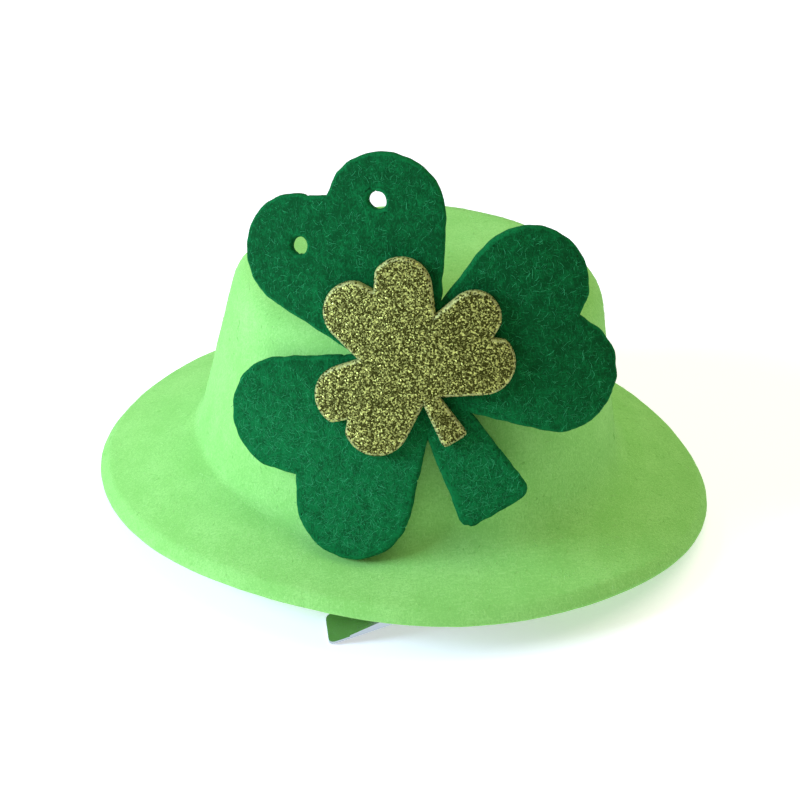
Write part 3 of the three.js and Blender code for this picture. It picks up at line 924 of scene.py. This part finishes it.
# The cut edge is painted paler than the face all round, as painted light on its side wall, from this far
# outside the flat, in millimetres
CUT_EDGE_PAINTED_LIGHT = 1.12
EDGE_START = 0.05
FOAM_REACH = 26
# The foam's rounded edge, up to this share of it, has only this share of the face's flakes
FACE_SHARE = 0.8
EDGE_FLAKES = 0.35


class TOPHAT_OT_felt_shamrock(bpy.types.Operator):
    """Makes the die-cut felt shamrock and its loose fibres"""
    bl_idname = "tophat.felt_shamrock"
    bl_label = "Felt Shamrock"

    def execute(self, context):
        shamrocks = settings("shamrocks")
        thickness, edge = shamrocks.felt_thickness / MM, shamrocks.felt_edge / MM

        def distance(points):
            clean = shamrock_distance(points, FELT_LEAVES, FELT_STEM, PUNCHES, shamrocks.punch_radius / MM)
            flat = np.column_stack([points, np.zeros(len(points))])
            return clean + CUT_UNEVEN * lumps(flat, CUT_GRAIN)

        points, faces, front = cut_sheet(
            distance, FELT_REACH, shamrocks.felt_mesh / MM, edge, thickness,
            soft_edge(edge, thickness, front_drop=0.9, back_rise=0.3, steps=4),
        )
        relief = lumps(points, FELT_COARSE_LUMP) + FELT_FINE_SHARE * lumps(points, FELT_FINE_LUMP) - FELT_SUNK
        points[:, 2] += front * shamrocks.felt_lumps / MM * relief
        felt = felt_material(
            "green_felt_needled", shamrocks.green, shamrocks.green_shade,
            fibre_mm=(1.3, 0.28, 0.28), cloud_mm=2, depth_mm=0.3, contrast=0.06, sheen=0.0,
        )
        placed = on_crown(shamrocks, points * MM, shamrocks.felt_thickness, FELT_CENTRE)
        sheet = new_piece("felt_shamrock_sheet", placed, faces, felt)
        inwards = -distance(points[:, :2]) - edge
        # Lighter towards the bottom, with more loose fibres there
        paling = np.clip((PALER_TOP - points[:, 1]) / PALER_HEIGHT, 0, 1)
        nap_share = np.clip(inwards / NAP_INSET, EDGE_NAP, 1) * np.maximum(paling, LEAST_NAP)
        set_attribute(sheet, "cover", nap_share * front)
        # The cut edge gets its painted light through the paling attribute
        set_attribute(sheet, "paling", np.maximum(paling, CUT_EDGE_PAINTED_LIGHT * (inwards < -EDGE_START)))
        weld(sheet)
        seat(sheet, "hat", "green_felt", "felt_shamrock")
        nap = loose_nap(
            "felt_shamrock_nap", sheet, "green_felt", shamrocks,
            shamrocks.green, shamrocks.green_fibre, seed=23,
        )
        width, length, area = flat_cut(distance, FELT_REACH)
        return {"FINISHED"}


class TOPHAT_OT_glitter_shamrock(bpy.types.Operator):
    """Makes the foam shamrock and the glitter on it"""
    bl_idname = "tophat.glitter_shamrock"
    bl_label = "Glitter Shamrock"

    def execute(self, context):
        shamrocks = settings("shamrocks")
        thickness, edge = shamrocks.foam_thickness / MM, shamrocks.foam_edge / MM

        def distance(points):
            return shamrock_distance(points, FOAM_LEAVES, FOAM_STEM, (), 0)

        points, faces, front = cut_sheet(
            distance, FOAM_REACH, shamrocks.foam_mesh / MM, edge, thickness,
            soft_edge(edge, thickness, front_drop=0.8, back_rise=0.15, steps=5),
        )
        foam = foam_material("glitter_foam_sheet", shamrocks.foam_core, shamrocks.glitter_painted_shade, shamrocks.gold)
        placed = on_crown(shamrocks, points * MM, shamrocks.foam_thickness, FOAM_CENTRE)
        sheet = new_piece("glitter_shamrock_sheet", placed, faces, foam)
        on_face = distance(points[:, :2]) < FACE_SHARE * -edge
        set_attribute(sheet, "cover", front * np.where(on_face, 1, EDGE_FLAKES))
        weld(sheet)
        flake = flake_material("glitter_flakes", shamrocks.glitter_painted_shade, shamrocks.gold)
        flakes = grown(
            "glitter_shamrock_flakes", sheet.data, glitter_tree("glitter", flake),
            Density=shamrocks.flake_density, Width=shamrocks.flake_width, Seed=31,
        )
        seat(sheet, "hat", "gold_glitter_foam", "glitter_shamrock")
        seat(flakes, "hat", "gold_glitter_foam")
        return {"FINISHED"}


# Clip

# Faces that meet at less than this are one flat; edges sharper than this are rounded
FLAT_ANGLE = math.radians(1)
BEND_ANGLE = math.radians(25)
LATHE_SEGMENTS = 32
COIL_STEPS = 28
HEAD_STEPS = 5


def stamped(name, node, material, edge):
    """A sheet-metal piece in a solid's place, with its edges rounded."""
    piece = new_object(name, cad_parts[node].data.copy())
    piece.data.materials.clear()
    piece.data.materials.append(material)
    form = bmesh.new()
    form.from_mesh(piece.data)
    bmesh.ops.remove_doubles(form, verts=form.verts, dist=2 * SAME_PLACE)
    bmesh.ops.dissolve_limit(form, angle_limit=FLAT_ANGLE, verts=form.verts, edges=form.edges)
    form.to_mesh(piece.data)
    form.free()
    piece.data.shade_smooth()
    bevel = piece.modifiers.new("edges", "BEVEL")
    bevel.width = edge
    bevel.segments = 3
    bevel.limit_method = "ANGLE"
    bevel.angle_limit = BEND_ANGLE
    normals = piece.modifiers.new("normals", "WEIGHTED_NORMAL")
    normals.keep_sharp = True
    return baked(piece)


def rivet(clip, material):
    """The pin, with low domed heads, turned about the clip's width."""
    end = clip.pin_half_length
    shoulder = end - clip.head_thickness
    turns = np.linspace(0, math.pi / 2, HEAD_STEPS)
    head = [(clip.head_radius * math.cos(t), shoulder + clip.head_thickness * math.sin(t)) for t in turns]
    half = [(clip.pin_radius, shoulder)] + head
    profile = [(r, -y) for r, y in reversed(half)] + half
    points = []
    for s in range(LATHE_SEGMENTS):
        angle = 2 * math.pi * s / LATHE_SEGMENTS
        points += [(r * math.cos(angle), y, r * math.sin(angle)) for r, y in profile]
    faces = lathe_faces(len(profile), LATHE_SEGMENTS)
    piece = new_piece("clip_rivet", moved(CLIP, points), faces, material)
    weld(piece)
    return piece


def spring(clip, material):
    """The torsion spring: a coil round the pin and a leg under the upper arm."""
    steps = clip.coil_turns * COIL_STEPS
    turns = math.pi / 2 + np.arange(steps + 1) / COIL_STEPS * 2 * math.pi
    coil = np.stack([
        clip.coil_radius * np.cos(turns),
        np.linspace(-clip.coil_half_length, clip.coil_half_length, steps + 1),
        clip.coil_radius * np.sin(turns),
    ], axis=1)
    line = np.concatenate([coil, [(-clip.leg, clip.coil_half_length, clip.leg_height)]])
    guide = bpy.data.meshes.new("spring_line")
    guide.from_pydata([tuple(p) for p in moved(CLIP, line)], [(k, k + 1) for k in range(len(line) - 1)], [])
    piece = grown("clip_spring_wire", guide, wire_tree("spring_wire", material), Radius=clip.wire)
    piece.data.shade_smooth()
    return piece


class TOPHAT_OT_clip(bpy.types.Operator):
    """Makes the clip's two arms, its rivet and its spring"""
    bl_idname = "tophat.clip"
    bl_label = "Hair Clip"

    def execute(self, context):
        clip = settings("clip")
        steel = plated_material("nickel_plated_steel_stamped", clip.steel)
        upper = stamped("clip_fixed_arm", "clip_upper_arm", steel, clip.edge)
        lower = stamped("clip_lever_arm", "clip_lower_arm", steel, clip.edge)
        seat(upper, "hat", "plated_steel", "clip_upper_arm")
        seat(lower, "lever", "plated_steel", "clip_lower_arm")
        seat(rivet(clip, steel), "hat", "plated_steel", "clip_pin")
        seat(spring(clip, steel), "hat", "plated_steel", "clip_spring")
        return {"FINISHED"}


# Stage

FLOOR_HALF = 2.5
FLOOR_BELOW = 0.02 * MM
HAT_MIDDLE = Vector((0, 0, 30)) * MM
KEY_DIRECTION = (-0.82, -0.34, 0.45)
KEY_DISTANCE = 0.75
KEY_WIDTH = 0.3
CEILING = Vector((0.25, 0.25, 1.0))
CEILING_WIDTH = 1.1
NEAREST_SEEN = 10 * MM


def area_light(name, place, width, power, colour):
    """A soft square light that faces the hat."""
    data = bpy.data.lights.new(name, "AREA")
    data.size = width
    data.energy = power
    data.color = colour
    light = new_object(name, data)
    light.location = place
    light.rotation_euler = (HAT_MIDDLE - place).to_track_quat("-Z", "Y").to_euler()


class TOPHAT_OT_stage(bpy.types.Operator):
    """Makes the paper floor, the soft lights and the camera"""
    bl_idname = "tophat.stage"
    bl_label = "Stage"

    def execute(self, context):
        stage = settings("stage")
        sides = ((-1, -1), (1, -1), (1, 1), (-1, 1))
        corners = [(x * FLOOR_HALF, y * FLOOR_HALF, -FLOOR_BELOW) for x, y in sides]
        paper = paper_material("studio_paper", stage.floor)
        floor = new_piece("paper_floor", corners, [(0, 1, 2, 3)], paper)
        window = HAT_MIDDLE + Vector(KEY_DIRECTION).normalized() * KEY_DISTANCE
        area_light("window_left", window, KEY_WIDTH, stage.key, stage.key_tint)
        area_light("ceiling", CEILING, CEILING_WIDTH, stage.ceiling, stage.sky_tint)
        world = bpy.data.worlds.new("even_light")
        world.use_nodes = True
        even = world.node_tree.nodes["Background"].inputs
        even["Color"].default_value = (*stage.sky_tint, 1)
        even["Strength"].default_value = stage.sky
        context.scene.world = world
        context.scene.view_settings.view_transform = "Standard"

        tilt = Matrix.Rotation(math.pi / 2 - stage.elevation, 4, "X")
        roll = Matrix.Rotation(stage.roll, 4, "Z")
        data = bpy.data.cameras.new("photo_view")
        data.lens = stage.lens
        data.shift_x = stage.shift_across
        data.shift_y = stage.shift_up
        data.clip_start = NEAREST_SEEN
        camera = new_object("photo_view", data)
        camera.matrix_world = REST @ tilt @ roll @ Matrix.Translation((0, 0, stage.distance))
        context.scene.camera = camera
        return {"FINISHED"}


class TOPHAT_PT_panel(bpy.types.Panel):
    """Lists the pieces of the hat"""
    bl_idname = "TOPHAT_PT_panel"
    bl_label = "Mini Top Hat"
    bl_space_type = "VIEW_3D"
    bl_region_type = "UI"
    bl_category = "Top Hat"

    def draw(self, context):
        for step in STEPS:
            self.layout.operator(step.bl_idname)
        for name in GROUPS:
            group = settings(name)
            box = self.layout.box()
            for key in group.bl_rna.properties.keys():
                if key not in ("rna_type", "name"):
                    box.prop(group, key)


GROUPS = {
    "felt": FeltHatSettings,
    "shamrocks": ShamrockSettings,
    "clip": ClipSettings,
    "stage": StageSettings,
}
STEPS = (
    TOPHAT_OT_felt_hat,
    TOPHAT_OT_felt_shamrock,
    TOPHAT_OT_glitter_shamrock,
    TOPHAT_OT_clip,
    TOPHAT_OT_stage,
)


def register():
    for cls in (*GROUPS.values(), *STEPS, TOPHAT_PT_panel):
        bpy.utils.register_class(cls)
    for name, group in GROUPS.items():
        setattr(bpy.types.Scene, "top_hat_" + name, PointerProperty(type=group))


def unregister():
    for name in GROUPS:
        delattr(bpy.types.Scene, "top_hat_" + name)
    for cls in (TOPHAT_PT_panel, *reversed(STEPS), *reversed(GROUPS.values())):
        bpy.utils.unregister_class(cls)


def main():
    register()
    bpy.ops.tophat.felt_hat()
    bpy.ops.tophat.felt_shamrock()
    bpy.ops.tophat.glitter_shamrock()
    bpy.ops.tophat.clip()
    bpy.ops.tophat.stage()


if __name__ == "__main__":
    main()
